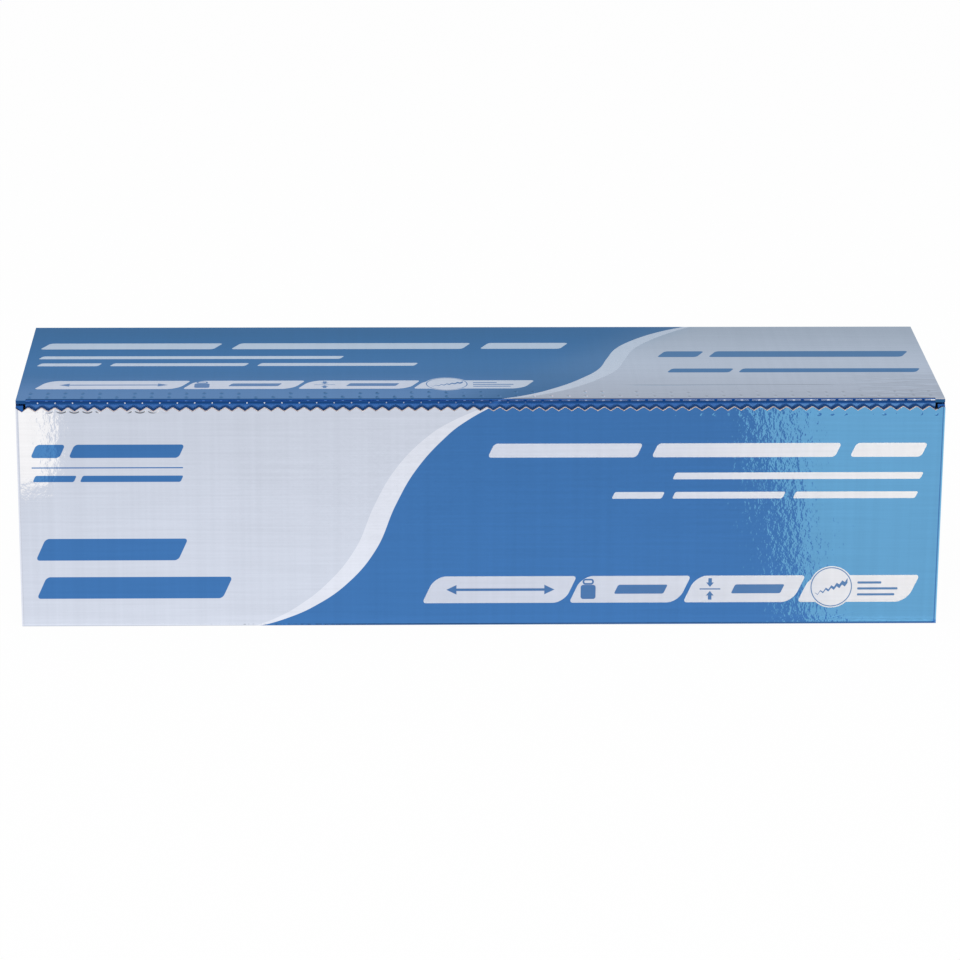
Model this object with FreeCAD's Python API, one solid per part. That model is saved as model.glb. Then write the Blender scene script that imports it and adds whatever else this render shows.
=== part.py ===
import FreeCAD, Part

import math
import os

# A roll of catering foil in its cutter carton, at its real size, in millimetres.
# X runs along the roll, -Y is the printed front with the cutting edge, and Z is up.
# The origin is the middle of the carton's footprint, on the surface that it stands on.

# Foil and core
foil_width = 290.0
wound_wall = 5.85  # 78 m of foil, 14 micrometres thick, wound on the core with a little air
core_overhang = 2.5  # how far the core stands out of the roll at each end
core_bore = 50.0
core_wall = 3.0
winding_gap = 0.15  # between the core and the first turn
tail_step = 0.3  # how far the loose end of the foil stands off the turn below it
tail_angle = 50.0  # where the loose end lies, in degrees above the horizontal, on the back
end_ring_count = 4  # rings of turns that stand slightly proud on each end of the roll
end_ring_depth = 0.25

# Carton board
board = 1.2
end_layers = 2  # each end wall is a flap of the back panel under a flap of the front panel
fold_radius = 1.0  # outside of the tray's folds
flap_setback = 0.9  # the outer end flap stops this far short of the rear and bottom faces

# Room round the roll, which gives the carton its size
end_play = 2.6  # from the core's end to the end wall
side_room = 9.3  # from the roll to the front and back panels
head_room = 7.0  # from the roll up to the lid
seat_gap = 0.3  # from the roll down to the bottom panel

# Cutting edge, cut in the top of the front panel
tooth_pitch = 4.28
tooth_height = 1.4
tooth_tip_rounding = 0.8
tooth_root_rounding = 0.15
tooth_drop = 1.9  # from the lid's top face down to the tooth tips

# Tuck flap of the lid, which goes in behind the cutting edge
tuck_height = 14.0
tuck_gap = 1.25  # from the front panel's inner face to the flap
tuck_side_gap = 0.8
tuck_corner_radius = 6.0
tuck_fold_radius = 1.6

# Cut crease along the tuck fold: long cuts with short bridges
crease_pitch = 5.7
crease_bridge = 0.8
crease_cut_width = 0.45
crease_cut_depth = 0.3
crease_tilt = 45.0  # the cuts face forward and up, in degrees

# Places worked out from the sizes above
core_radius = core_bore / 2 + core_wall
roll_bore_radius = core_radius + winding_gap
roll_radius = roll_bore_radius + wound_wall
roll_axis_height = board + seat_gap + roll_radius + tail_step / 2
core_length = foil_width + 2 * core_overhang
inner_length = core_length + 2 * end_play
carton_height = 2 * board + seat_gap + 2 * roll_radius + tail_step + head_room
carton_depth = 2 * board + 2 * roll_radius + 2 * side_room
end_wall = end_layers * board
carton_length = inner_length + 2 * end_wall
half_length = carton_length / 2
half_depth = carton_depth / 2
wall_top = carton_height - board
tooth_tip = carton_height - tooth_drop
tooth_root = tooth_tip - tooth_height
tuck_front = -half_depth + board + tuck_gap
tuck_length = inner_length - 2 * tuck_side_gap
diagonal = math.sqrt(0.5)  # across and up to the middle of a quarter round

vector = FreeCAD.Vector


def box_between(low, high):
    """A box from its lowest to its highest corner."""
    size = [high[i] - low[i] for i in range(3)]
    return Part.makeBox(size[0], size[1], size[2], vector(*low))


def along_x(edges, start, length):
    """A solid whose outline is drawn across the carton at x = start and runs length along X."""
    face = Part.Face(Part.Wire(edges))
    return face.extrude(vector(length, 0, 0))


def polygon_edges(points):
    """Straight edges through the points and back to the first."""
    closed = points + points[:1]
    return [Part.makeLine(closed[i], closed[i + 1]) for i in range(len(points))]


def rounded_path(corners, radii):
    """Edges along a line of corners in the plane of the front panel, each inner corner rounded."""
    edges = []
    start = corners[0]
    for i in range(1, len(corners) - 1):
        corner = corners[i]
        radius = radii[i]
        back = (corners[i - 1] - corner).normalize()
        ahead = (corners[i + 1] - corner).normalize()
        half_angle = back.getAngle(ahead) / 2
        run = radius / math.tan(half_angle)
        middle_way = (back + ahead).normalize()
        middle = corner + middle_way * (radius / math.sin(half_angle) - radius)
        arc_start = corner + back * run
        arc_end = corner + ahead * run
        edges.append(Part.makeLine(start, arc_start))
        edges.append(Part.Arc(arc_start, middle, arc_end).toShape())
        start = arc_end
    edges.append(Part.makeLine(start, corners[-1]))
    return edges


def make_space_over_teeth():
    """What is cut away above the front panel: its lower side is the zigzag line of the teeth."""
    front = -half_depth - board
    tooth_count = math.ceil(carton_length / tooth_pitch)
    corners = [vector(-half_length - tooth_pitch / 2, front, tooth_root)]
    radii = [tooth_root_rounding]
    for tooth in range(tooth_count + 1):
        tip_x = -half_length + tooth * tooth_pitch
        corners.append(vector(tip_x, front, tooth_tip))
        corners.append(vector(tip_x + tooth_pitch / 2, front, tooth_root))
        radii += [tooth_tip_rounding, tooth_root_rounding]
    edges = rounded_path(corners, radii)
    top_right = vector(corners[-1].x, front, carton_height)
    top_left = vector(corners[0].x, front, carton_height)
    edges.append(Part.makeLine(corners[-1], top_right))
    edges.append(Part.makeLine(top_right, top_left))
    edges.append(Part.makeLine(top_left, corners[0]))
    face = Part.Face(Part.Wire(edges))
    return face.extrude(vector(0, 2 * board, 0))


def make_corner_relief():
    """The slanted cut at the front of both end walls, from the tooth roots up to the lid."""
    start = -half_depth + board
    rise = wall_top - tooth_root
    corners = [
        vector(-carton_length, start, tooth_root),
        vector(-carton_length, start + rise, wall_top),
        vector(-carton_length, start + rise, carton_height),
        vector(-carton_length, start, carton_height),
    ]
    return along_x(polygon_edges(corners), -carton_length, 2 * carton_length)


def make_flap_edges():
    """What is cut away where the outer end flaps stop short of the rear and bottom faces."""
    pieces = []
    for side in (-1, 1):
        outside = side * carton_length
        seam = side * (half_length - board)
        low_x = min(outside, seam)
        high_x = max(outside, seam)
        pieces.append(box_between(
            (low_x, half_depth - flap_setback, 0),
            (high_x, carton_depth, carton_height)))
        pieces.append(box_between(
            (low_x, -half_depth + board, -board),
            (high_x, carton_depth, flap_setback)))
    return pieces


def make_hinge_ridge():
    """The top of the back panel: a mitre that meets the lid's mitre along the hinge crease."""
    corners = [
        vector(-half_length + board, half_depth - board, wall_top),
        vector(-half_length + board, half_depth, wall_top),
        vector(-half_length + board, half_depth, carton_height),
    ]
    return along_x(polygon_edges(corners), -half_length + board, carton_length - 2 * board)


def on_outline(edge, axis_name, places):
    """Whether an edge runs along one axis and lies at the given places on the other axes."""
    middle = edge.CenterOfMass
    box = edge.BoundBox
    spans = {"x": box.XLength, "y": box.YLength, "z": box.ZLength}
    tolerance = 0.01
    if any(span > tolerance for name, span in spans.items() if name != axis_name):
        return False
    values = {"x": middle.x, "y": middle.y, "z": middle.z}
    return all(abs(abs(values[name]) - abs(place)) < tolerance for name, place in places.items())


def make_tray():
    """Bottom, front and back panels and the glued end walls, folded from one blank."""
    tray = box_between((-half_length, -half_depth, 0), (half_length, half_depth, wall_top))
    long_folds = [e for e in tray.Edges if on_outline(e, "x", {"y": half_depth, "z": 0})]
    corner_folds = [
        e for e in tray.Edges
        if on_outline(e, "z", {"x": half_length, "y": half_depth}) and e.CenterOfMass.y < 0
    ]
    tray = tray.makeFillet(fold_radius, long_folds + corner_folds)
    tray = tray.cut(box_between(
        (-inner_length / 2, -half_depth + board, board),
        (inner_length / 2, half_depth - board, carton_height)))
    tray = tray.cut(make_space_over_teeth())
    tray = tray.cut(make_corner_relief())
    for piece in make_flap_edges():
        tray = tray.cut(piece)
    tray = tray.fuse(make_hinge_ridge())
    return tray.removeSplitter()


def make_crease_cuts():
    """The row of shallow cuts along the outside of the tuck fold."""
    axis_y = tuck_front + tuck_fold_radius
    axis_z = carton_height - tuck_fold_radius
    cut_length = crease_pitch - crease_bridge
    count = math.floor((tuck_length - crease_bridge) / crease_pitch)
    first = -(count * crease_pitch - crease_bridge) / 2
    inner_radius = tuck_fold_radius - crease_cut_depth
    cuts = []
    for i in range(count):
        cut = Part.makeBox(
            cut_length, board, crease_cut_width,
            vector(first + i * crease_pitch, -inner_radius - board, -crease_cut_width / 2))
        cut.rotate(vector(0, 0, 0), vector(1, 0, 0), -crease_tilt)
        cut.translate(vector(0, axis_y, axis_z))
        cuts.append(cut)
    return cuts


def make_lid():
    """Top panel and tuck flap, hinged on the outer edge of the rear crease."""
    start = -tuck_length / 2
    inner_fold_radius = tuck_fold_radius - board
    axis_y = tuck_front + tuck_fold_radius
    axis_z = carton_height - tuck_fold_radius
    flap_foot = carton_height - tuck_height
    outer_rear = vector(start, half_depth, carton_height)
    inner_rear = vector(start, half_depth - board, wall_top)
    outer_top = vector(start, axis_y, carton_height)
    outer_side = vector(start, tuck_front, axis_z)
    outer_middle = vector(
        start, axis_y - tuck_fold_radius * diagonal, axis_z + tuck_fold_radius * diagonal)
    inner_top = vector(start, axis_y, wall_top)
    inner_side = vector(start, tuck_front + board, axis_z)
    inner_middle = vector(
        start, axis_y - inner_fold_radius * diagonal, axis_z + inner_fold_radius * diagonal)
    outer_foot = vector(start, tuck_front, flap_foot)
    inner_foot = vector(start, tuck_front + board, flap_foot)
    outline = [
        Part.makeLine(outer_rear, outer_top),
        Part.Arc(outer_top, outer_middle, outer_side).toShape(),
        Part.makeLine(outer_side, outer_foot),
        Part.makeLine(outer_foot, inner_foot),
        Part.makeLine(inner_foot, inner_side),
        Part.Arc(inner_side, inner_middle, inner_top).toShape(),
        Part.makeLine(inner_top, inner_rear),
        Part.makeLine(inner_rear, outer_rear),
    ]
    lid = along_x(outline, start, tuck_length)
    foot_corners = [
        e for e in lid.Edges if on_outline(e, "y", {"x": tuck_length / 2, "z": flap_foot})
    ]
    lid = lid.makeFillet(tuck_corner_radius, foot_corners)
    lid = lid.cut(Part.makeCompound(make_crease_cuts()))
    for side_start in (-half_length, tuck_length / 2):
        ear_corners = [
            vector(side_start, half_depth, carton_height),
            vector(side_start, tuck_front, carton_height),
            vector(side_start, tuck_front, wall_top),
            vector(side_start, half_depth - board, wall_top),
        ]
        lid = lid.fuse(along_x(polygon_edges(ear_corners), side_start, half_length - tuck_length / 2))
    return lid.removeSplitter()


def ring_plate(inner_radius, outer_radius, start, length):
    """A flat ring about the roll's axis."""
    centre = vector(start, 0, roll_axis_height)
    direction = vector(1, 0, 0)
    outer = Part.makeCylinder(outer_radius, length, centre, direction)
    inner = Part.makeCylinder(inner_radius, length, centre, direction)
    return outer.cut(inner)


def make_wound_outline(start):
    """Two half circles that make one turn of a spiral, and the step at the foil's loose end."""
    angle = math.radians(tail_angle)
    out = vector(0, math.cos(angle), math.sin(angle))
    up = vector(0, -math.sin(angle), math.cos(angle))
    centre = vector(start, 0, roll_axis_height)
    shift = tail_step / 2
    second_centre = centre + out * shift
    tail_foot = centre + out * roll_radius
    half_way = centre - out * roll_radius
    tail_edge = second_centre + out * (roll_radius + shift)
    return [
        Part.Arc(tail_foot, centre + up * roll_radius, half_way).toShape(),
        Part.Arc(half_way, second_centre - up * (roll_radius + shift), tail_edge).toShape(),
        Part.makeLine(tail_edge, tail_foot),
    ]


def make_foil_roll():
    """The wound foil, with rings of turns that stand slightly proud at both ends."""
    body_length = foil_width - 2 * end_ring_depth
    start = -body_length / 2
    roll = along_x(make_wound_outline(start), start, body_length)
    ring_pitch = (roll_radius - roll_bore_radius) / end_ring_count
    for i in range(end_ring_count):
        inner_radius = roll_bore_radius + i * ring_pitch
        outer_radius = inner_radius + ring_pitch / 2
        roll = roll.fuse(ring_plate(inner_radius, outer_radius, -foil_width / 2, end_ring_depth))
        roll = roll.fuse(ring_plate(inner_radius, outer_radius, body_length / 2, end_ring_depth))
    centre = vector(-foil_width, 0, roll_axis_height)
    bore = Part.makeCylinder(roll_bore_radius, 2 * foil_width, centre, vector(1, 0, 0))
    return roll.cut(bore).removeSplitter()


def make_core_tube():
    """The paperboard tube that the foil is wound on."""
    return ring_plate(core_bore / 2, core_radius, -core_length / 2, core_length)


nodes = {
    "carton_tray": make_tray(),
    "carton_lid": make_lid(),
    "foil_roll": make_foil_roll(),
    "core_tube": make_core_tube(),
}

os.makedirs("parts", exist_ok=True)
for name, shape in nodes.items():
    shape.exportStep("parts/" + name + ".step")
    print(name, "solids", len(shape.Solids), "valid", shape.isValid(), "volume", round(shape.Volume))
print("carton", carton_length, carton_depth, carton_height, "roll radius", round(roll_radius, 3))
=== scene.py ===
import math

import bmesh
import bpy
from mathutils import Matrix, Vector, noise


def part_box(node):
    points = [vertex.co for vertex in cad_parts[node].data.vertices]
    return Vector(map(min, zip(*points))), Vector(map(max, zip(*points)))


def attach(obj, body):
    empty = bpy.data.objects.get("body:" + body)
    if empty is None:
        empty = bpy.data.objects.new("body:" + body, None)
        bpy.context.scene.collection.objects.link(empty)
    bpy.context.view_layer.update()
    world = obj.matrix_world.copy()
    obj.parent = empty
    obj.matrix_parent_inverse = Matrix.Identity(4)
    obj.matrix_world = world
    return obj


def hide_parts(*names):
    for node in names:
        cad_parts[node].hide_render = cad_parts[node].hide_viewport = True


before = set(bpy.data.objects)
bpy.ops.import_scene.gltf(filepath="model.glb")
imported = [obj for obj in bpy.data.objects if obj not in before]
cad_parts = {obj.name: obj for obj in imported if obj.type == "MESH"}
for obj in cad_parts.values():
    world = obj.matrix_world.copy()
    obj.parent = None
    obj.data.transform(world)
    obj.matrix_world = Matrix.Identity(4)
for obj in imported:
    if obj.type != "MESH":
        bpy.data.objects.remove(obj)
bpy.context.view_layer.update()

# A carton of catering foil: the printed film on its board, the raw board inside it,
# and the roll on its core. Places are in millimetres: along and across the carton from
# its middle, and up from its foot.

_, tray_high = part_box("carton_tray")
lid_low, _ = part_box("carton_lid")
core_low, core_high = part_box("core_tube")

MM = 0.001
IMAGE_SIZE = 960
SENSOR_WIDTH = 36.0

# The carton's own sizes, read from the frame, in millimetres
half_length = tray_high.x / MM
half_depth = tray_high.y / MM
carton_height = tray_high.z / MM
tuck_front = lid_low.y / MM

# Board, folds and teeth
film_skin = 0.07
lid_film_skin = 0.35
tray_fold_radius = 1.0
tuck_fold_radius = 1.6
tooth_pitch = 4.28
tooth_root_height = carton_height - 3.3
end_wall_inside = half_length - 2.4
tuck_half_length = end_wall_inside - 0.8
crease_pitch = 5.7
crease_dash = 4.7
dent_rows = (-38.6, -34.0)
cut_row_depth = 0.47
cut_half_height = 0.17
dot_row_depth = 1.0
dot_radius = 0.22
flap_start = 1.4

# The roll: foil wound on a board core, with its loose end on the back
roll_radius = 34.0
roll_length = 290.0
roll_bore_radius = 28.15
roll_axis_height = 35.65
tail_step = 0.3
tail_angle = math.radians(50.0)
end_ring_depth = 0.25
core_bore_radius = 25.0
core_radius = 28.0
core_length = (core_high.x - core_low.x) / MM
core_strip_pitch = 92.0
foil_turn_pitch = 0.45

# The glued end flaps: the outer one's half width, its top and its length down past the foot,
# and the gap between the two under it
end_flap_half = 42.4
end_flap_top = 75.2
end_flap_reach = 120.0
inner_flap_gap = 17.0

# Wear in the film: a crease at the front's lower right and a tucked corner there, darkened as painted
# shade; the height at which the front starts to turn under; and a crease and a smudge on the lid
corner_crease_start = (117.3, 2.4)
corner_crease_slope = 0.279
corner_crease_middle = 128.0
corner_crease_half = 11.0
tucked_shade_width = 1.6
tucked_shade_height = 1.5
turned_height = 4.0
lid_crease_line = -25.6
lid_crease_middle = 84.0
lid_crease_half = 34.0
smudge_left = 126.0
smudge_rear = -12.0

# How far a panel's middle stands above its edges, in hundredths of a millimetre
lid_crown = 60.0
end_crown = 50.0

# Camera, fitted to the corners of the carton in the photograph
CAMERA_PLACE = (-0.0393, -1.2822, 0.4565)
CAMERA_YAW = 0.0313
CAMERA_PITCH = 0.3164
CAMERA_ROLL = 0.0072
FOCAL_PIXELS = 3955.7

# Inks and boards, as linear colours
SILVER = (0.655, 0.690, 0.775)
BRIGHT_SILVER = (0.780, 0.800, 0.870)
LID_SILVER = (0.765, 0.740, 0.825)
BLUE = (0.056, 0.182, 0.442)
# The tuck fold's blue, also used as painted shade on the front's tucked corner
FOLD_AND_SHADE_BLUE = (0.030, 0.145, 0.480)
SLOT_BLUE = (0.060, 0.200, 0.560)
PALE_FOLD_BLUE = (0.200, 0.500, 0.740)
PALE_PRINT = (0.700, 0.745, 0.860)
# The white below is the painted highlight along the lid's row of cuts
GLINT_WHITE = (0.800, 0.850, 0.930)
RAW_EDGE = (0.800, 0.690, 0.640)
INNER_BOARD = (0.560, 0.500, 0.430)
CORE_BOARD = (0.330, 0.225, 0.140)
FOIL = (0.900, 0.910, 0.925)

# The pale band on the front runs in an S from the foot to the cutting edge:
# height and place of its right side
FRONT_CURVE = [
    (0.0, -74.0), (3.1, -63.9), (7.1, -55.3), (15.0, -44.4), (26.8, -34.9),
    (42.7, -28.2), (54.5, -21.7), (66.4, -11.4), (70.4, -6.6), (78.0, 6.5),
]
# The same band on the lid, from the tuck fold to the rear edge:
# distance from the middle and place of its left side
LID_CURVE = [
    (-42.0, 3.3), (-37.5, 13.9), (-28.2, 25.4), (-17.7, 34.1), (-7.1, 40.3),
    (5.0, 43.7), (17.3, 47.5), (27.3, 53.6), (37.4, 63.0), (44.5, 73.0),
]
LID_EDGE_TINT = (0.71, 0.89, 1.0)
BAND_WIDTH = 7.0
LID_BAND_WIDTH = 6.3

# Slanted plates in the blue field: left and right ends at half height
PLATE_ENDS = [(-17.4, 29.8), (31.5, 67.8), (69.5, 106.0), (107.7, 144.1)]
PLATE_HEIGHT = 9.4
PLATE_LEAN = 0.45
PLATE_SMALL_CORNER = 1.3
PLATE_LARGE_CORNER = 3.8
FRONT_PLATE_LEVEL = 12.7
LID_PLATE_LEVEL = -24.7
LID_PLATE_SHIFT = -128.0

# Signs on the plates: the disc, the arrow's tips, the weight and the sheet, and the bars beside them
DISC_PLACE = 116.8
DISC_RISE = 0.6
DISC_RADIUS = 7.3
ARROW_TIPS = (-11.5, 24.5)
ARROW_HEAD = 2.5
WEIGHT_ENDS = (33.2, 38.2)
SHEET_ENDS = (72.8, 79.8)
SIGN_BARS = [(45.0, 61.5), (84.0, 100.5)]
SAW_PITCH = 1.8
SAW_HALF_LENGTH = 5.4

# Slanted bars that stand in for words: level, height, and the left and right ends of each bar in the row
TITLE_ROWS = [
    (61.2, 4.8, [(3.0, 52.0), (57.0, 117.5), (122.5, 146.0)]),
    (52.3, 2.3, [(63.5, 145.5)]),
    (45.6, 2.3, [(43.5, 60.0), (63.5, 100.0), (103.5, 144.0)]),
]
CORNER_ROWS = [
    (61.3, 4.6, [(-147.0, -137.5), (-134.5, -98.5)]),
    (51.8, 2.2, [(-147.0, -133.5), (-131.5, -98.5)]),
]
CORNER_LINE_ENDS = (-147.7, -98.1)
CORNER_LINE_LEVEL = 55.6
FRONT_BLUE_ROWS = [
    (27.2, 7.6, [(-145.5, -98.5)]),
    (13.8, 7.6, [(-145.5, -84.0)]),
]
LID_PALE_ROWS = [
    (21.1, 7.2, [(-147.5, -88.5), (-82.5, -3.5), (2.5, 30.0)]),
    (7.4, 3.4, [(-148.0, -46.0)]),
    (-1.0, 3.4, [(-148.0, -127.5), (-123.5, -78.0), (-74.0, -21.0)]),
]
LID_BLUE_ROWS = [
    (10.6, 7.0, [(62.5, 76.0), (80.0, 146.0)]),
    (-8.9, 4.6, [(64.0, 85.0), (88.0, 148.0)]),
]
BACK_TITLE_SHIFT = 4.0
BACK_CORNER_SHIFT = 40.0

# Light of the studio by elevation in degrees, in front of the carton and behind it
FRONT_LEVELS = [
    (-90, 0.38), (-48, 0.38), (-44, 1.03), (-21, 1.04), (-20, 1.01), (-18.8, 0.98),
    (-17.9, 0.93), (-17.3, 0.90), (-10, 0.86), (-7, 0.58), (0, 0.55), (25, 0.50),
    (32, 0.34), (60, 0.34), (74, 0.80), (90, 0.85),
]
BACK_LEVELS = [
    (-90, 0.75), (-45, 0.90), (-33, 1.03), (-10, 0.95), (-4, 0.60), (8, 0.48), (13, 0.53),
    (16.5, 0.69), (20, 0.56), (24, 0.52), (30, 0.36), (60, 0.36), (74, 0.80), (90, 0.85),
]
TABLE_LEVEL = 0.80
LEFT_TABLE_LEVEL = 1.12
SIDE_RIPPLE = 18.0
STUDIO_TINT = (0.985, 1.0, 1.03)
WALL_LIFT = (0.50, 0.30, 0.25)
COOL_WALL = (0.63, 0.85, 0.98)
RIGHT_CARD = (2.35, 2.00, 1.40)
LEFT_CARD = (1.40, 1.32, 1.20)
FLOOR_WHITE = 0.975

# Where the walls, the table and the cards stand: places to the side and up for each unit
# of distance from the carton, and elevations in degrees
WALL_EDGE = 0.078
WALL_EDGE_SLOPE = 0.0072
WALL_EDGE_ELEVATION = 12.8
WALL_FAR_EDGE = -0.5
LIFT_ELEVATIONS = (18.4, 24.0)
COOL_ELEVATIONS = (8.0, 18.0)
TABLE_SIDE = 0.22
TABLE_FAR_EDGE = -20.0
LEFT_TABLE_SIDE = -0.03
LEFT_TABLE_FAR_EDGE = -22.0
CARD_TOP = -0.20
RIGHT_CARD_ENDS = (0.1092, 0.32)
RIGHT_CARD_LEAN = 0.16
RIGHT_CARD_LEAN_TOP = -0.309
RIGHT_CARD_FOOT = -0.62
RIGHT_CARD_RIM = -0.41
LEFT_CARD_ENDS = (-0.30, -0.0835)
LEFT_CARD_FOOT = -0.329


class Signal:
    """A number that varies over a surface: arithmetic on it adds Math nodes to its recipe."""

    def __init__(self, recipe, socket):
        self.recipe = recipe
        self.socket = socket

    def __add__(self, other):
        return self.recipe.math("ADD", self, other)

    __radd__ = __add__

    def __sub__(self, other):
        return self.recipe.math("SUBTRACT", self, other)

    def __rsub__(self, other):
        return self.recipe.math("SUBTRACT", other, self)

    def __mul__(self, other):
        return self.recipe.math("MULTIPLY", self, other)

    __rmul__ = __mul__

    def __truediv__(self, other):
        return self.recipe.math("DIVIDE", self, other)

    def __neg__(self):
        return self * -1.0

    def __abs__(self):
        return self.recipe.math("ABSOLUTE", self)

    def power(self, exponent):
        return self.recipe.math("POWER", self, exponent)

    def at_least(self, other):
        return self.recipe.math("MAXIMUM", self, other)

    def at_most(self, other):
        return self.recipe.math("MINIMUM", self, other)

    def fraction(self):
        return self.recipe.math("FRACT", self)

    def clamped(self):
        return self.recipe.math("ADD", self, 0.0, clamp=True)


class Recipe:
    """The nodes of one material, or of the world."""

    def __init__(self, tree):
        self.tree = tree
        tree.nodes.clear()

    def add(self, kind, settings=None, inputs=None):
        """A node of one kind, its settings first, then the values or links of its sockets."""
        node = self.tree.nodes.new(kind)
        for name, value in (settings or {}).items():
            if name == "stops":
                self.set_stops(node.color_ramp, value)
            elif name == "curve":
                self.set_curve(node.mapping, value)
            else:
                setattr(node, name, value)
        for name, value in (inputs or {}).items():
            self.feed(node.inputs[name], value)
        return node

    def feed(self, socket, value):
        if isinstance(value, Signal):
            self.tree.links.new(value.socket, socket)
        elif isinstance(value, bpy.types.NodeSocket):
            self.tree.links.new(value, socket)
        elif socket.type == "RGBA":
            socket.default_value = (*value, 1.0)
        else:
            socket.default_value = value

    def set_stops(self, ramp, stops):
        """Stops are pairs of a place from 0 to 1 and a colour."""
        first, last = ramp.elements[0], ramp.elements[-1]
        first.color = (*stops[0][1], 1.0)
        last.color = (*stops[-1][1], 1.0)
        for place, colour in stops[1:-1]:
            ramp.elements.new(place).color = (*colour, 1.0)

    def set_curve(self, mapping, points):
        """Points are pairs of a place and a value, both from 0 to 1."""
        curve = mapping.curves[0]
        for place, value in points[1:-1]:
            curve.points.new(place, value)
        curve.points[0].location = points[0]
        curve.points[-1].location = points[-1]
        mapping.update()

    def math(self, operation, *values, clamp=False):
        settings = {"operation": operation, "use_clamp": clamp}
        node = self.add("ShaderNodeMath", settings, dict(enumerate(values)))
        return Signal(self, node.outputs[0])

    def vector(self, x, y, z=0.0):
        node = self.add("ShaderNodeCombineXYZ", None, {0: x, 1: y, 2: z})
        return node.outputs[0]

    def vector_math(self, operation, *values):
        node = self.add("ShaderNodeVectorMath", {"operation": operation}, dict(enumerate(values)))
        return node

    def split(self, socket):
        node = self.add("ShaderNodeSeparateXYZ", None, {0: socket})
        return [Signal(self, output) for output in node.outputs]

    def length(self, x, y):
        node = self.vector_math("LENGTH", self.vector(x, y))
        return Signal(self, node.outputs["Value"])

    def inside(self, distance, softness=0.12):
        """1 where a distance in millimetres is negative, with a soft edge, and 0 elsewhere."""
        return self.math("SUBTRACT", 0.5, distance / softness, clamp=True)

    def curve_through(self, signal, points):
        """The smooth curve through pairs of a place and a value, both in millimetres."""
        places = [place for place, value in points]
        values = [value for place, value in points]
        low, span = places[0], places[-1] - places[0]
        least, rise = min(values), max(values) - min(values)
        scaled = [((place - low) / span, (value - least) / rise) for place, value in points]
        node = self.add("ShaderNodeFloatCurve", {"curve": scaled}, {"Value": (signal - low) / span})
        return Signal(self, node.outputs[0]) * rise + least

    def scaled(self, vector, factor):
        """A vector or a colour times a number or a signal."""
        node = self.vector_math("SCALE", vector)
        self.feed(node.inputs["Scale"], factor)
        return node.outputs[0]

    def stretched(self, vector, x, y, z):
        """A place with each of its axes scaled, so that a pattern is drawn out along the small ones."""
        return self.vector_math("MULTIPLY", vector, (x, y, z)).outputs[0]

    def mix(self, factor, first, second):
        """The first colour where the factor is 0 and the second where it is 1."""
        node = self.add("ShaderNodeMix", {"data_type": "RGBA"}, {0: factor, 6: first, 7: second})
        return node.outputs[2]

    def blend(self, factor, first, second):
        """The same for numbers."""
        return self.math("MULTIPLY_ADD", factor, second - first, first)

    def noise(self, coordinates, scale, detail=2.0, roughness=0.5):
        inputs = {"Vector": coordinates, "Scale": scale, "Detail": detail, "Roughness": roughness}
        node = self.add("ShaderNodeTexNoise", None, inputs)
        return Signal(self, node.outputs[0])

    def levels(self, elevation, pairs):
        """A level for each elevation, in straight runs between pairs of an elevation and a level."""
        stops = [((degrees + 90.0) / 180.0, (level, level, level)) for degrees, level in pairs]
        node = self.add("ShaderNodeValToRGB", {"stops": stops}, {"Fac": (elevation + 90.0) / 180.0})
        return Signal(self, node.outputs["Color"])

    def bump(self, height, distance):
        """A normal from a height signal. The distance is the height, in metres, that 1 stands for."""
        return self.add("ShaderNodeBump", None, {"Height": height, "Distance": distance}).outputs[0]


def new_material(name):
    material = bpy.data.materials.new(name)
    material.use_nodes = True
    return material, Recipe(material.node_tree)


def finish_material(recipe, inputs):
    shader = recipe.add("ShaderNodeBsdfPrincipled", None, inputs)
    recipe.add("ShaderNodeOutputMaterial", None, {"Surface": shader.outputs[0]})


def object_millimetres(recipe):
    """The place on the piece, in millimetres, as a vector and as three signals."""
    texture = recipe.add("ShaderNodeTexCoord")
    place = recipe.scaled(texture.outputs["Object"], 1.0 / MM)
    return place, recipe.split(place)


# Printed shapes, as distances in millimetres that are negative inside the shape

def bar(recipe, u, v, left, right, level, height, corner=0.5, lean=0.0):
    """A bar with round corners that leans to the right."""
    half_width = (right - left) / 2 - corner
    half_height = height / 2 - corner
    across = u - (left + right) / 2 - (v - level) * lean if lean else u - (left + right) / 2
    offset = recipe.vector_math("ABSOLUTE", recipe.vector(across, v - level)).outputs[0]
    outside = recipe.vector_math("SUBTRACT", offset, (half_width, half_height, 0.0)).outputs[0]
    outside = recipe.vector_math("MAXIMUM", outside, (0.0, 0.0, 0.0)).outputs[0]
    return Signal(recipe, recipe.vector_math("LENGTH", outside).outputs["Value"]) - corner


def plate(recipe, u, v, left, right, level):
    """A slanted plate with two small and two large corners."""
    rise = v - level
    across = u - (left + right) / 2 - rise * PLATE_LEAN
    large = recipe.inside(across * rise, 0.5)
    corner = recipe.blend(large, PLATE_SMALL_CORNER, PLATE_LARGE_CORNER)
    beyond = (abs(across) - (right - left) / 2 + corner).at_least(0.0)
    above = (abs(rise) - PLATE_HEIGHT / 2 + corner).at_least(0.0)
    return recipe.length(beyond, above) - corner


def disc(recipe, u, v, centre, radius):
    return recipe.length(u - centre[0], v - centre[1]) - radius


def triangle(recipe, u, v, tip, height, half_base):
    """An arrow head that points up from its base to its tip, or down if its height is negative."""
    below = (tip[1] - v) / height
    side = abs(u - tip[0]) / half_base - below
    return recipe.math("MAXIMUM", side, below - 1.0) * half_base


def union(distances):
    joined = distances[0]
    for distance in distances[1:]:
        joined = joined.at_most(distance)
    return joined


def plates(recipe, u, v, level, shift):
    """All four plates and the disc that the last one carries."""
    shapes = [plate(recipe, u, v, left + shift, right + shift, level) for left, right in PLATE_ENDS]
    shapes.append(disc(recipe, u, v, (DISC_PLACE + shift, level + DISC_RISE), DISC_RADIUS))
    return union(shapes)


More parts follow.
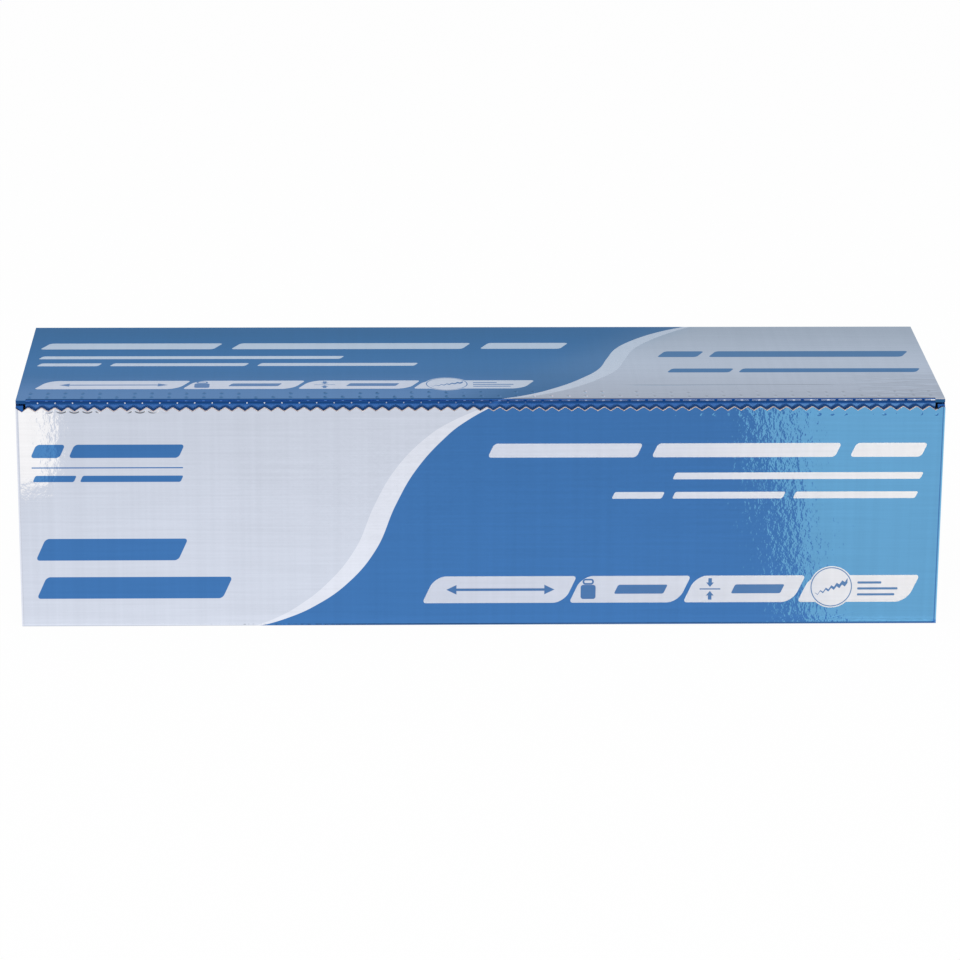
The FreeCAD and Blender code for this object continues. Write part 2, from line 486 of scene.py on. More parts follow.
def plate_marks(recipe, u, v, level, shift):
    """Plain signs on the plates: a width, a weight, a thickness and a cutting edge."""
    shapes = []
    # A width between two arrow heads
    left, right = ARROW_TIPS
    shapes.append(bar(recipe, u, v, left + ARROW_HEAD + shift, right - ARROW_HEAD + shift, level, 0.9, 0.2))
    for tip, direction in ((left, 1.0), (right, -1.0)):
        head = triangle(recipe, v, u * -direction, (level, (tip + shift) * -direction), 3.4, 1.7)
        shapes.append(head)
    # A weight with its knob
    left, right = WEIGHT_ENDS
    shapes.append(bar(recipe, u, v, left + shift, right + shift, level - 0.9, 5.0, 0.9))
    knob = bar(recipe, u, v, left + 0.9 + shift, right - 0.9 + shift, level + 2.7, 1.5, 0.7)
    shapes.append(abs(knob) - 0.3)
    # Two arrows that close on a sheet
    left, right = SHEET_ENDS
    middle = (left + right) / 2 + shift
    shapes.append(bar(recipe, u, v, left + shift, right + shift, level, 0.4, 0.15))
    for side in (-1.0, 1.0):
        shapes.append(triangle(recipe, u, v, (middle, level + side * 0.7), side * -1.6, 1.3))
        shapes.append(bar(recipe, u, v, middle - 0.6, middle + 0.6, level + side * 3.0, 1.6, 0.1))
    # A bar beside the weight, and one beside the arrows
    for left, right in SIGN_BARS:
        shapes.append(bar(recipe, u, v, left + shift, right + shift, level, 3.2, 0.6, PLATE_LEAN))
    # A ring, a rising zigzag in it, and three lines beside it
    centre = (DISC_PLACE + shift, level + DISC_RISE)
    shapes.append(abs(disc(recipe, u, v, centre, DISC_RADIUS - 0.55)) - 0.17)
    saw = abs(((u - centre[0]) / SAW_PITCH).fraction() - 0.5) * 2.0
    edge = abs(v - centre[1] - (u - centre[0]) * 0.40 - saw + 0.9) - (u - centre[0] + 6.5) * 0.075
    shapes.append(edge.at_least(abs(u - centre[0]) - SAW_HALF_LENGTH))
    for row, right in ((2.1, 133.5), (0.0, 139.0), (-2.1, 138.0)):
        shapes.append(bar(recipe, u, v, 125.5 + shift, right + shift, level + row, 0.8, 0.3))
    return union(shapes)


def slanted_bars(recipe, u, v, rows):
    """Rows of bars that stand in for words."""
    shapes = []
    for level, height, spans in rows:
        corner = min(height * 0.25, 1.3)
        for left, right in spans:
            shapes.append(bar(recipe, u, v, left, right, level, height, corner, PLATE_LEAN))
    return union(shapes)


def corner_bars(recipe, u, v):
    """Blue bars over and under a thin line."""
    left, right = CORNER_LINE_ENDS
    line = bar(recipe, u, v, left, right, CORNER_LINE_LEVEL, 0.4, 0.15)
    return slanted_bars(recipe, u, v, CORNER_ROWS).at_most(line)


def front_pale_print(recipe, u, v):
    """Pale shapes in the blue field of the front."""
    words = slanted_bars(recipe, u, v, TITLE_ROWS)
    return words.at_most(plates(recipe, u, v, FRONT_PLATE_LEVEL, 0.0))


def front_blue_print(recipe, u, v):
    """Blue shapes in the silver field of the front, and the marks on the plates."""
    words = slanted_bars(recipe, u, v, FRONT_BLUE_ROWS)
    marks = plate_marks(recipe, u, v, FRONT_PLATE_LEVEL, 0.0)
    return union([words, corner_bars(recipe, u, v), marks])


def lid_pale_print(recipe, u, v):
    """Pale shapes in the blue field of the lid."""
    words = slanted_bars(recipe, u, v, LID_PALE_ROWS)
    return words.at_most(plates(recipe, u, v, LID_PLATE_LEVEL, LID_PLATE_SHIFT))


def lid_blue_print(recipe, u, v):
    """Blue shapes in the silver field of the lid, and the marks on the plates."""
    words = slanted_bars(recipe, u, v, LID_BLUE_ROWS)
    return words.at_most(plate_marks(recipe, u, v, LID_PLATE_LEVEL, LID_PLATE_SHIFT))


def band_taper(v, low, high):
    """How much of its width the pale band has left: it runs out to nothing at both ends."""
    middle = (low + high) / 2
    reach = (high - low) / 2
    return 1.0 - abs((v - middle) / reach).power(6.0)


def front_colour(recipe, u, v):
    """Silver to the left, blue to the right, the pale band between them, and the mask of the pale print."""
    edge = recipe.curve_through(v, FRONT_CURVE)
    width = band_taper(v, -2.0, carton_height).at_least(0.0) * BAND_WIDTH
    colour = recipe.mix(recipe.inside(edge - width - u), SILVER, BRIGHT_SILVER)
    colour = recipe.mix(recipe.inside(edge - u), colour, BLUE)
    pale = recipe.inside(front_pale_print(recipe, u, v))
    colour = recipe.mix(pale, colour, PALE_PRINT)
    return recipe.mix(recipe.inside(front_blue_print(recipe, u, v)), colour, BLUE), pale


def back_colour(recipe, u, v):
    """The back, seen from behind: the front's band turned upside down to meet the lid's."""
    edge = recipe.curve_through(carton_height - v, FRONT_CURVE)
    width = band_taper(v, 0.0, carton_height + 2.0).at_least(0.0) * BAND_WIDTH
    colour = recipe.mix(recipe.inside(edge - width - u), SILVER, BRIGHT_SILVER)
    colour = recipe.mix(recipe.inside(edge - u), colour, BLUE)
    words = slanted_bars(recipe, u, v - BACK_TITLE_SHIFT, TITLE_ROWS)
    colour = recipe.mix(recipe.inside(words), colour, PALE_PRINT)
    return recipe.mix(recipe.inside(corner_bars(recipe, u, v + BACK_CORNER_SHIFT)), colour, BLUE)


def lid_colour(recipe, u, v):
    """The front's print turned round: blue to the left and silver to the right."""
    edge = recipe.curve_through(v, LID_CURVE)
    width = band_taper(v, tuck_front - 3.0, half_depth + 3.0).at_least(0.0) * LID_BAND_WIDTH
    colour = recipe.mix(recipe.inside(u - edge), LID_SILVER, BLUE)
    band = (u - edge - width).at_least(edge - u)
    pale = recipe.inside(lid_pale_print(recipe, u, v).at_most(band))
    colour = recipe.mix(pale, colour, PALE_PRINT)
    return recipe.mix(recipe.inside(lid_blue_print(recipe, u, v)), colour, BLUE), pale


def board_colour(recipe, place, cut, rim):
    """Raw board: greyish brown inside, pinkish white on the outer rim of a cut, and darkened behind it as
    painted shade.
    """
    fibre = recipe.noise(recipe.stretched(place, 0.15, 0.6, 0.6), 2.2, 4.0, 0.7)
    fleck = recipe.inside(0.66 - recipe.noise(place, 1.3, 2.0, 0.5), 0.05)
    inner = recipe.mix(fibre, INNER_BOARD, tuple(channel * 1.35 for channel in INNER_BOARD))
    inner = recipe.mix(fleck * 0.3, inner, CORE_BOARD)
    edge = recipe.mix(fibre, RAW_EDGE, tuple(channel * 1.12 for channel in RAW_EDGE))
    # Painted shade: behind the rim the edge is darkened to under half
    edge = recipe.mix(rim, recipe.scaled(edge, 0.45), edge)
    return recipe.mix(cut, inner, edge)


def film_tone(recipe, place):
    """Slight stripes in the film's tone: fine printed lines along the carton and faint streaks down it."""
    lines = recipe.noise(recipe.stretched(place, 0.02, 1.0, 1.0), 1.1, 2.0, 0.6)
    streaks = recipe.noise(recipe.stretched(place, 1.0, 0.02, 0.02), 0.45, 2.0, 0.6)
    return 1.0 + (lines - 0.5) * 0.15 + (streaks - 0.5) * 0.10


def film_relief(recipe, place, drawn_out):
    """Heights in hundredths of a millimetre: the film's slow waves, and its crinkles, drawn out one way."""
    waves = recipe.noise(place, 0.012, 1.0, 0.4) * 9.0 + recipe.noise(place, 0.045, 1.0, 0.4) * 3.5
    crinkles = recipe.noise(drawn_out, 0.50, 2.5, 0.60) * 1.20
    grain = recipe.noise(place, 0.95, 1.0, 0.5) * 0.35
    return waves, crinkles + grain


def pressed_lines(recipe, place, x, z):
    """Curved lines under the teeth at the left, where the cutting die pressed the film: dented in the
    relief, and darkened in colour as painted shade.
    """
    broken = recipe.inside(0.47 - recipe.noise(place, 0.10, 1.0, 0.5), 0.08)
    turn = ((x + half_length) / tooth_pitch).fraction() - 0.5
    curve = tooth_root_height - 0.22 + turn * turn * 3.5
    line = recipe.inside(abs(z - curve) - 0.20, 0.2) * recipe.inside(abs(turn) - 0.38, 0.1) * broken
    return line * recipe.inside(x + 105.0, 10.0) * recipe.inside(-145.0 - x, 6.0)


def front_marks(recipe, place, x, z):
    """Pressed marks in the front, in hundredths of a millimetre."""
    # Small uneven dents under the notches at the right
    broken = recipe.inside(0.52 - recipe.noise(place, 0.30, 1.0, 0.5), 0.08)
    ragged = recipe.noise(place, 0.9, 1.0, 0.5) * 1.2
    along = abs(((x + half_length) / tooth_pitch).fraction() - 0.5) * tooth_pitch
    dents = recipe.inside(recipe.length(along * 0.5, z - tooth_root_height + 0.6 + ragged) - 0.30, 0.3)
    dents = dents * recipe.inside(75.0 - x, 40.0) * broken
    # A crease across the lower right corner, and small blobs along the bottom fold
    start_x, start_z = corner_crease_start
    crease = recipe.inside(abs(z - start_z - (x - start_x) * corner_crease_slope) - 0.1, 0.3)
    crease = crease * recipe.inside(abs(x - corner_crease_middle) - corner_crease_half, 3.0)
    blobs = recipe.noise(recipe.stretched(place, 0.4, 1.0, 1.0), 0.9, 2.0, 0.5) * recipe.inside(z - 1.6, 1.2)
    # The panel starts to turn under a little above its bottom fold
    turned = (turned_height - z).at_least(0.0)
    turned = turned * turned * 0.6
    return dents * -3.0 + crease * -0.5 + blobs * 3.0 - turned - pressed_lines(recipe, place, x, z) * 3.0


def end_flap(recipe, y, z):
    """Distance to the outer end flap, which folds up from the bottom and stops short of the other folds."""
    middle = end_flap_top - end_flap_reach / 2
    return bar(recipe, y, z, -end_flap_half, end_flap_half, middle, end_flap_reach, 2.0)


def end_relief(recipe, y, z):
    """The step at the outer flap's edge and the inner flaps' edges, in hundredths of a millimetre."""
    step = recipe.inside(end_flap(recipe, y, z), 0.5)
    inner = recipe.inside(abs(y) - inner_flap_gap / 2, 1.2)
    crown = (y / half_depth) * (y / half_depth) * -end_crown
    return step * 12.0 - inner * 5.0 + crown


def lid_marks(recipe, place, x, y):
    """Rows of small dents behind the tuck fold, a crease and a smudge, from 0 to 1."""
    along = abs(((x / crease_pitch) + 0.5).fraction() - 0.5) * crease_pitch
    broken = recipe.inside(0.47 - recipe.noise(place, 0.12, 2.0, 0.5), 0.1)
    wander = recipe.noise(place, 0.05, 1.0, 0.5) * 4.0 - 2.0
    rows = [recipe.inside(recipe.length(along, (y - row + wander) * 0.5) - 0.45, 0.6) for row in dent_rows]
    crease = recipe.inside(abs(y - lid_crease_line + wander * 0.2) - 0.15, 0.4)
    crease = crease * recipe.inside(abs(x - lid_crease_middle) - lid_crease_half, 12.0)
    blotch = recipe.noise(recipe.stretched(place, 0.3, 1.0, 1.0), 0.28, 2.0, 0.5)
    smudge = recipe.inside(0.47 - blotch, 0.12) * recipe.inside(smudge_left - x, 16.0)
    smudge = smudge * recipe.inside(y - smudge_rear, 10.0)
    return (rows[0] + rows[1] * broken + crease * 0.7 + smudge * 0.35).clamped()


def make_tray_material():
    material, recipe = new_material("Printed film tray")
    place, (x, y, z) = object_millimetres(recipe)
    # The film covers the outside: everything that lies in the skin of a box with round folds
    beyond_x = (abs(x) - half_length + tray_fold_radius).at_least(0.0)
    beyond_y = (abs(y) - half_depth + tray_fold_radius).at_least(0.0)
    beyond_z = (tray_fold_radius - z).at_least(0.0)
    reach = recipe.vector_math("LENGTH", recipe.vector(beyond_x, beyond_y, beyond_z)).outputs["Value"]
    film = recipe.inside(tray_fold_radius - film_skin - Signal(recipe, reach), 0.02)
    # It also wraps the board beside both ends of the tuck flap
    top = recipe.inside(tooth_root_height - 0.3 - z, 0.1)
    corner = top * recipe.inside(end_wall_inside - 0.3 - abs(x), 0.1)
    corner = corner * recipe.inside(y - tuck_front - 2.0, 0.1)
    corner = corner * recipe.inside(0.2 - half_depth - y, 0.1)
    film = film.at_least(corner)
    printed, pale = front_colour(recipe, x, z)
    front = recipe.inside(y + half_depth - tray_fold_radius * 0.7, 0.1)
    back = recipe.inside(half_depth - tray_fold_radius * 0.7 - y, 0.1)
    ends = recipe.mix(recipe.inside(x), BLUE, SILVER)
    seam = recipe.inside(abs(end_flap(recipe, y, z)) - 0.22, 0.12)
    ends = recipe.mix(seam * 0.8, ends, recipe.scaled(ends, 0.45))
    on_end = recipe.inside(half_length - tray_fold_radius * 0.7 - abs(x), 0.1)
    foot = recipe.inside(z - tray_fold_radius * 0.3, 0.1)
    outside = recipe.mix(foot, ends, BLUE)
    outside = recipe.mix(back, outside, back_colour(recipe, -x, z))
    outside = recipe.mix(front, outside, printed)
    outside = recipe.mix(corner, outside, FOLD_AND_SHADE_BLUE)
    # The front's upright folds are paler, and its lower right corner, which is tucked under, is darkened as
    # painted shade
    pale_folds = recipe.inside(half_length - 0.6 - abs(x), 0.4) * recipe.inside(y + half_depth - 1.0, 0.3)
    outside = recipe.mix(pale_folds, outside, recipe.mix(recipe.inside(x), PALE_FOLD_BLUE, BRIGHT_SILVER))
    # Painted shade: the tucked corner is darkened with the tuck fold's blue
    tucked_shade = recipe.inside(half_length - tucked_shade_width - x, 0.6) * front
    tucked_shade = tucked_shade * recipe.inside(z - tucked_shade_height, 0.6)
    outside = recipe.mix(tucked_shade * 0.7, outside, FOLD_AND_SHADE_BLUE)
    # Painted shade: the film's colour is darkened along the pressed lines
    pressed_shade = pressed_lines(recipe, place, x, z) * front
    outside = recipe.scaled(outside, film_tone(recipe, place) - pressed_shade * 0.75)
    # Painted shade falls on the cut edges except in the outer part of the front and back walls, and only
    # half of it towards the left
    rim = recipe.inside(y + half_depth - 0.55, 0.2).at_least(recipe.inside(half_depth - 0.6 - abs(y), 0.2))
    rim = rim.at_least(recipe.inside(x + 60.0, 100.0) * 0.5)
    board = board_colour(recipe, place, top, rim)
    waves, crinkles = film_relief(recipe, place, recipe.stretched(place, 1.0, 0.75, 0.75))
    relief = waves + crinkles * recipe.blend(recipe.inside(x + 60.0, 80.0), 1.0, 0.32)
    relief = relief + front_marks(recipe, place, x, z) * front + end_relief(recipe, y, z) * on_end
    pale = pale * front
    finish_material(recipe, {
        "Base Color": recipe.mix(film, board, outside),
        "Metallic": film * (1.0 - pale * 0.75),
        "Roughness": recipe.blend(film, 0.75, 0.022 + pale * 0.13),
        "Normal": recipe.bump(relief, 0.01 * MM),
    })
    return material


def make_lid_material():
    material, recipe = new_material("Printed film lid")
    place, (x, y, z) = object_millimetres(recipe)
    beyond_y = (tuck_front + tuck_fold_radius - y).at_least(0.0)
    beyond_z = (z - carton_height + tuck_fold_radius).at_least(0.0)
    film = recipe.inside(tuck_fold_radius - lid_film_skin - recipe.length(beyond_y, beyond_z), 0.02)
    printed, pale = lid_colour(recipe, x, y)
    # The tuck fold and its flap are blue all along, with a white highlight painted along the row of cuts
    strip = recipe.inside(z - carton_height + 0.06, 0.08)
    outside = recipe.mix(strip, printed, FOLD_AND_SHADE_BLUE)
    # Painted shade: the lid's front edge is darkened 60 % towards black beside both ends of the flap, over
    # the gaps there
    gap_shade = recipe.inside(tuck_half_length - abs(x), 0.1) * strip
    outside = recipe.mix(gap_shade * 0.6, outside, (0.0, 0.0, 0.0))
    along = abs(((x / crease_pitch) + 0.5).fraction() - 0.5) * crease_pitch
    below_top = carton_height - z
    dash = (along - crease_dash / 2).at_least(abs(below_top - cut_row_depth) - cut_half_height)
    # Painted highlight: white dashes in the cuts, strong at the right and faint at the left, and white dots
    # between them towards the left
    crease_glint = recipe.inside(dash, 0.1) * recipe.blend(recipe.inside(x - 60.0, 150.0), 0.95, 0.06)
    dot = recipe.length(crease_pitch / 2 - along, below_top - dot_row_depth) - dot_radius
    dot = recipe.inside(dot, 0.15)
    crease_glint = crease_glint.at_least(dot * recipe.inside(x + 20.0, 100.0)) * (1.0 - gap_shade)
    crease_glint = crease_glint * recipe.inside(y - tuck_front - tuck_fold_radius, 0.1)
    dents = lid_marks(recipe, place, x, y)
    flap = recipe.inside(flap_start - below_top, 0.3)
    outside = recipe.mix(flap * 0.5, outside, SLOT_BLUE)
    # The dents and the crease are darkened as painted shade, and the smudge as dirt
    outside = recipe.scaled(outside, film_tone(recipe, place) - dents * 0.18)
    cut = recipe.inside(half_length - 0.05 - abs(x), 0.02)
    # The lid's cut ends keep their pale rim in the top 0.7 mm and are darkened below it as painted shade
    board = board_colour(recipe, place, cut, recipe.inside(carton_height - 0.7 - z, 0.2))
    colour = recipe.mix(film, board, outside)
    # The panel is slightly crowned from front to back
    crown = (y / half_depth) * (y / half_depth) * -lid_crown
    waves, crinkles = film_relief(recipe, place, recipe.stretched(place, 0.15, 0.6, 0.6))
    relief = waves * 0.6 + crinkles * 0.4 + crown
    finish_material(recipe, {
        "Base Color": recipe.mix(crease_glint, colour, GLINT_WHITE),
        "Metallic": film * (1.0 - crease_glint) * (1.0 - pale * 0.5) * (1.0 - flap * 0.6),
        "Roughness": recipe.blend(film, 0.75, 0.06 + pale * 0.1),
        "Specular Tint": LID_EDGE_TINT,
        "Normal": recipe.bump(relief - dents * 4.0, 0.01 * MM),
    })
    return material


def make_foil_material():
    """Bright foil: rolling lines round the roll, soft crinkles along it, and the turns at its ends."""
    material, recipe = new_material("Wound foil")
    place, (x, y, z) = object_millimetres(recipe)
    lines = recipe.noise(recipe.stretched(place, 1.0, 0.01, 0.01), 0.7, 3.0, 0.6)
    crinkles = recipe.noise(recipe.stretched(place, 0.2, 1.0, 1.0), 0.22, 3.0, 0.6)
    radius = recipe.length(y, z - roll_axis_height)
    at_end = recipe.inside(roll_length / 2 - 1.0 - abs(x), 0.2)
    turns = abs((radius / foil_turn_pitch).fraction() - 0.5) * at_end
    tone = recipe.mix(lines, FOIL, tuple(channel * 0.88 for channel in FOIL))
    finish_material(recipe, {
        "Base Color": recipe.scaled(tone, 1.0 - turns * 0.7),
        "Metallic": 1.0,
        "Roughness": 0.08 + lines * 0.12 + turns * 0.3,
        "Normal": recipe.bump(lines * 0.3 + crinkles * 8.0 + turns * 6.0, 0.01 * MM),
    })
    return material


def make_core_material():
    """Brown paperboard, wound in a spiral strip."""
    material, recipe = new_material("Core paperboard")
    place, (x, y, z) = object_millimetres(recipe)
    fibre = recipe.noise(recipe.stretched(place, 0.3, 1.0, 1.0), 1.6, 4.0, 0.7)
    turn = recipe.math("ARCTAN2", z - roll_axis_height, y) / (2.0 * math.pi)
    seam = recipe.inside(abs((turn + x / core_strip_pitch).fraction() - 0.5) - 0.004, 0.004)
    colour = recipe.mix(fibre, CORE_BOARD, tuple(channel * 1.5 for channel in CORE_BOARD))
    finish_material(recipe, {
        "Base Color": recipe.scaled(colour, 1.0 - seam * 0.45),
        "Metallic": 0.0,
        "Roughness": 0.85,
        "Normal": recipe.bump(fibre * 3.0 - seam * 12.0, 0.01 * MM),
    })
    return material


def make_floor_material():
    """White to the camera, with part of the object's shadow kept."""
    material, recipe = new_material("Studio floor")
    diffuse = recipe.add("ShaderNodeBsdfDiffuse", None, {"Color": (0.92, 0.92, 0.92)})
    white = recipe.add("ShaderNodeEmission", None, {"Color": (1.0, 1.0, 1.0), "Strength": 1.0})
    path = recipe.add("ShaderNodeLightPath")
    seen = Signal(recipe, path.outputs["Is Camera Ray"]) * FLOOR_WHITE
    mixed = recipe.add("ShaderNodeMixShader", None, {0: seen, 1: diffuse.outputs[0], 2: white.outputs[0]})
    recipe.add("ShaderNodeOutputMaterial", None, {"Surface": mixed.outputs[0]})
    return material


def make_floor():
    mesh = bpy.data.meshes.new("studio_floor")
    shape = bmesh.new()
    bmesh.ops.create_grid(shape, x_segments=1, y_segments=1, size=6.0)
    shape.to_mesh(mesh)
    shape.free()
    floor = bpy.data.objects.new("studio_floor", mesh)
    bpy.context.scene.collection.objects.link(floor)
    mesh.materials.append(make_floor_material())
    floor.visible_glossy = False


def make_world():
    """What the film mirrors: a pale table, walls, a dim ring above them, and two cards by the camera."""
    world = bpy.data.worlds.new("Studio")
    bpy.context.scene.world = world
    world.use_nodes = True
    recipe = Recipe(world.node_tree)
    texture = recipe.add("ShaderNodeTexCoord")
    x, y, z = recipe.split(texture.outputs["Generated"])
    elevation = recipe.math("ARCSINE", z) * (180.0 / math.pi)
    front = recipe.inside(y, 0.4)
    front_light = recipe.levels(elevation, FRONT_LEVELS)
    back_light = recipe.levels(elevation, BACK_LEVELS)
    # Behind the carton to the left, where the lid's blue mirrors it, the wall is cooler low down
    # and brighter above
    aside = x / y.at_least(0.02)
    wall_side = (WALL_EDGE_ELEVATION - elevation) * WALL_EDGE_SLOPE + WALL_EDGE
    left_wall = recipe.inside(aside - wall_side, 0.02) * recipe.inside(WALL_FAR_EDGE - aside, 0.2)
    left_wall = left_wall * (1.0 - front)
    lift_foot, lift_top = LIFT_ELEVATIONS
    lift = left_wall * recipe.inside(lift_foot - elevation, 1.6) * recipe.inside(elevation - lift_top, 2.0)
    forward = (-y).at_least(0.02)
    across = x / forward
    table = recipe.inside(TABLE_SIDE - abs(across), 0.1) * recipe.inside(elevation - TABLE_FAR_EDGE, 1.0)
    left_table = recipe.inside(across - LEFT_TABLE_SIDE, 0.03)
    left_table = left_table * recipe.inside(elevation - LEFT_TABLE_FAR_EDGE, 4.0)
    table = (table * TABLE_LEVEL).at_least(left_table * LEFT_TABLE_LEVEL)
    level = recipe.blend(front, back_light, front_light.at_least(table))
    sides = recipe.inside(0.55 - abs(x), 0.3)
    ripple = recipe.math("SINE", y * SIDE_RIPPLE)
    level = level * (1.0 + sides * ripple * 0.16)
    shade = recipe.scaled(STUDIO_TINT, level)
    cool_foot, cool_top = COOL_ELEVATIONS
    cool = left_wall * recipe.inside(elevation - cool_top, 6.0) * recipe.inside(cool_foot - elevation, 4.0)
    shade = recipe.vector_math("MULTIPLY", shade, recipe.mix(cool, (1.0, 1.0, 1.0), COOL_WALL)).outputs[0]
    lifted = recipe.scaled(WALL_LIFT, lift)
    shade = recipe.vector_math("ADD", shade, lifted).outputs[0]
    # A warm card to the right of the camera, and a small one to its left
    fall = z / forward
    facing = recipe.inside(y, 0.1)
    below_top = recipe.inside(fall - CARD_TOP, 0.05) * facing
    near_end, far_end = RIGHT_CARD_ENDS
    card_edge = near_end - (fall - RIGHT_CARD_LEAN_TOP) * RIGHT_CARD_LEAN
    card = recipe.inside(card_edge - across, 0.002) * recipe.inside(across - far_end, 0.05)
    card = card * recipe.inside(RIGHT_CARD_FOOT - fall, 0.1) * below_top
    far_end, near_end = LEFT_CARD_ENDS
    left_card = recipe.inside(across - near_end, 0.002) * recipe.inside(far_end - across, 0.1)
    left_card = left_card * recipe.inside(LEFT_CARD_FOOT - fall, 0.003) * below_top
    card_colour = recipe.scaled(RIGHT_CARD, 1.0 + recipe.inside(fall - RIGHT_CARD_RIM, 0.04) * 0.2)
    shade = recipe.mix(card, shade, card_colour)
    shade = recipe.mix(left_card, shade, LEFT_CARD)
    path = recipe.add("ShaderNodeLightPath")
    light = recipe.add("ShaderNodeBackground", None, {"Color": shade, "Strength": 1.0})
    white = recipe.add("ShaderNodeBackground", None, {"Color": (1.0, 1.0, 1.0), "Strength": 1.0})
    seen = path.outputs["Is Camera Ray"]
    mixed = recipe.add("ShaderNodeMixShader", None, {0: seen, 1: light.outputs[0], 2: white.outputs[0]})
    recipe.add("ShaderNodeOutputWorld", None, {"Surface": mixed.outputs[0]})


def add_lamp(name, place, target, size, power):
    data = bpy.data.lights.new(name, "AREA")
    data.shape = "RECTANGLE"
    data.size = size[0]
    data.size_y = size[1]
    data.energy = power
    lamp = bpy.data.objects.new(name, data)
    bpy.context.scene.collection.objects.link(lamp)
    lamp.location = place
    lamp.rotation_euler = (Vector(target) - Vector(place)).to_track_quat("-Z", "Y").to_euler()
    lamp.visible_glossy = False


def make_lamps():
    add_lamp("Top softbox", (-0.3, -0.3, 1.3), (0.0, 0.0, 0.05), (1.2, 1.0), 8.0)
    add_lamp("Front softbox", (0.5, -1.2, 0.8), (0.0, 0.0, 0.05), (0.9, 0.7), 4.0)


def make_camera():
    data = bpy.data.cameras.new("Camera")
    data.sensor_width = SENSOR_WIDTH
    data.lens = FOCAL_PIXELS * SENSOR_WIDTH / IMAGE_SIZE
    data.clip_start = 0.05
    data.clip_end = 30.0
    camera = bpy.data.objects.new("Camera", data)
    bpy.context.scene.collection.objects.link(camera)
    turn = Matrix.Rotation(-CAMERA_YAW, 4, "Z") @ Matrix.Rotation(math.pi / 2 - CAMERA_PITCH, 4, "X")
    camera.matrix_world = Matrix.Translation(CAMERA_PLACE) @ turn @ Matrix.Rotation(CAMERA_ROLL, 4, "Z")
    bpy.context.scene.camera = camera


def add_piece(name, shape, material):
    """Turns a finished shape into a piece of the scene, smooth but for its sharp edges."""
    bmesh.ops.recalc_face_normals(shape, faces=shape.faces)
    for face in shape.faces:
        face.smooth = True
    for edge in shape.edges:
        edge.smooth = edge.calc_face_angle(0.0) < math.radians(35)
    mesh = bpy.data.meshes.new(name)
    shape.to_mesh(mesh)
    shape.free()
    mesh.materials.append(material)
    piece = bpy.data.objects.new(name, mesh)
    bpy.context.scene.collection.objects.link(piece)
    return piece


def pull(shape, loop, along=0.0, scale=1.0):
    """Extrudes a loop about the roll's axis, moves it along and changes its radius."""
    made = bmesh.ops.extrude_edge_only(shape, edges=loop)["geom"]
    points = [item for item in made if isinstance(item, bmesh.types.BMVert)]
    middle = Matrix.Translation((0.0, 0.0, -roll_axis_height * MM))
    bmesh.ops.scale(shape, vec=(1.0, scale, scale), space=middle, verts=points)
    bmesh.ops.translate(shape, vec=(along * MM, 0.0, 0.0), verts=points)
    return [item for item in made if isinstance(item, bmesh.types.BMEdge)]


def start_circle(shape, sides, radius, start):
    """A circle about the roll's axis, square to it."""
    middle = Matrix.Translation((start * MM, 0.0, roll_axis_height * MM))
    turn = Matrix.Rotation(math.pi / 2, 4, "Y")
    bmesh.ops.create_circle(shape, segments=sides, radius=radius * MM, matrix=middle @ turn)
    return list(shape.edges)


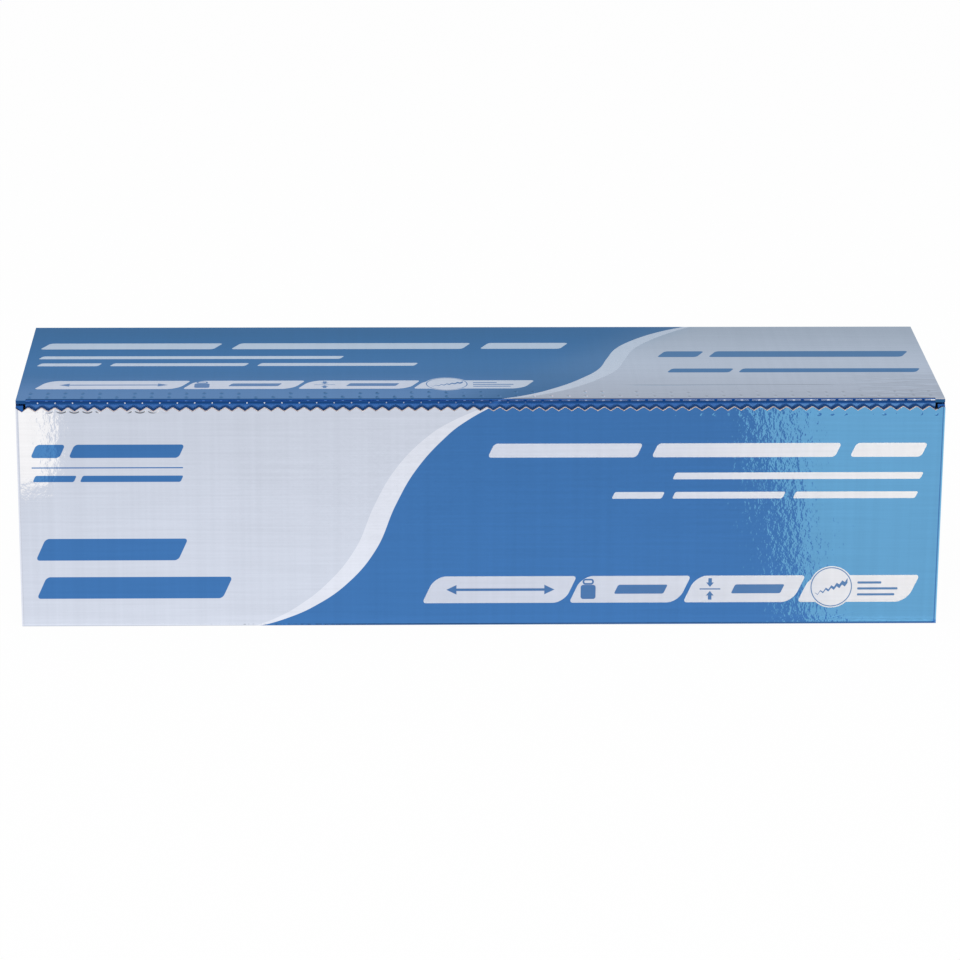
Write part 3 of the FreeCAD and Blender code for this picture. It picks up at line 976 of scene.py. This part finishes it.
def make_foil_winding():
    """The wound foil: one free edge on the back, pressed rings at the ends and shallow dents."""
    shape = bmesh.new()
    sides = 180
    steps = 58
    inset = 0.05
    dent_depth = 0.10
    rim_inset = 0.25
    ring_steps = 8
    first = start_circle(shape, sides, roll_radius, -roll_length / 2 + end_ring_depth)
    # The last turn leaves the one below it at the tail, so the outline is a spiral with one step
    for index, point in enumerate(list(shape.verts)):
        share = index / (sides - 0.95)
        angle = tail_angle - 2.0 * math.pi * share
        radius = (roll_radius + tail_step * (0.5 - share) - inset) * MM
        point.co.y = radius * math.cos(angle)
        point.co.z = radius * math.sin(angle) + roll_axis_height * MM
    last = first
    run = (roll_length - 2 * end_ring_depth) / steps
    for step in range(steps):
        last = pull(shape, last, along=run)
    # Shallow dents, pressed in only
    for point in shape.verts:
        inward = dent_depth * (0.5 + 0.5 * noise.noise(Vector(point.co) * 45.0))
        offset = Vector((0.0, point.co.y, point.co.z - roll_axis_height * MM))
        point.co -= offset.normalized() * inward * MM
    # Both ends go in to the bore over rings that stand proud in turn
    rims = []
    for loop, outward in ((first, -1.0), (last, 1.0)):
        rim = pull(shape, loop, outward * end_ring_depth * 0.6, 1.0 - rim_inset / roll_radius)
        radius = roll_radius - rim_inset
        ring_width = (radius - roll_bore_radius) / ring_steps
        for ring in range(ring_steps):
            shrink = (radius - ring_width) / radius
            rim = pull(shape, rim, outward * end_ring_depth * (0.4 if ring % 2 == 0 else -0.4), shrink)
            radius -= ring_width
        rims.append(rim)
    bmesh.ops.bridge_loops(shape, edges=rims[0] + rims[1])
    piece = add_piece("foil_winding", shape, make_foil_material())
    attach(piece, "tray")
    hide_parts("foil_roll")


def make_core_liner():
    """The board tube under the foil, with softened rims."""
    shape = bmesh.new()
    sides = 120
    steps = 12
    rim = 0.35
    loop = start_circle(shape, sides, core_radius - rim, -core_length / 2)
    near = loop
    loop = pull(shape, loop, rim, core_radius / (core_radius - rim))
    for step in range(steps):
        loop = pull(shape, loop, (core_length - 2 * rim) / steps)
    loop = pull(shape, loop, rim, (core_radius - rim) / core_radius)
    loop = pull(shape, loop, 0.0, (core_bore_radius + rim) / (core_radius - rim))
    loop = pull(shape, loop, -rim, core_bore_radius / (core_bore_radius + rim))
    near = pull(shape, near, 0.0, (core_bore_radius + rim) / (core_radius - rim))
    near = pull(shape, near, rim, core_bore_radius / (core_bore_radius + rim))
    bmesh.ops.bridge_loops(shape, edges=near + loop)
    piece = add_piece("core_liner", shape, make_core_material())
    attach(piece, "tray")
    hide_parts("core_tube")


def dress(node, material):
    """Gives a carried-over node its finish."""
    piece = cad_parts[node]
    for slot in piece.material_slots:
        slot.material = material


make_camera()
make_world()
make_lamps()
make_floor()
dress("carton_tray", make_tray_material())
dress("carton_lid", make_lid_material())
make_foil_winding()
make_core_liner()

bpy.context.scene.view_settings.view_transform = "Standard"
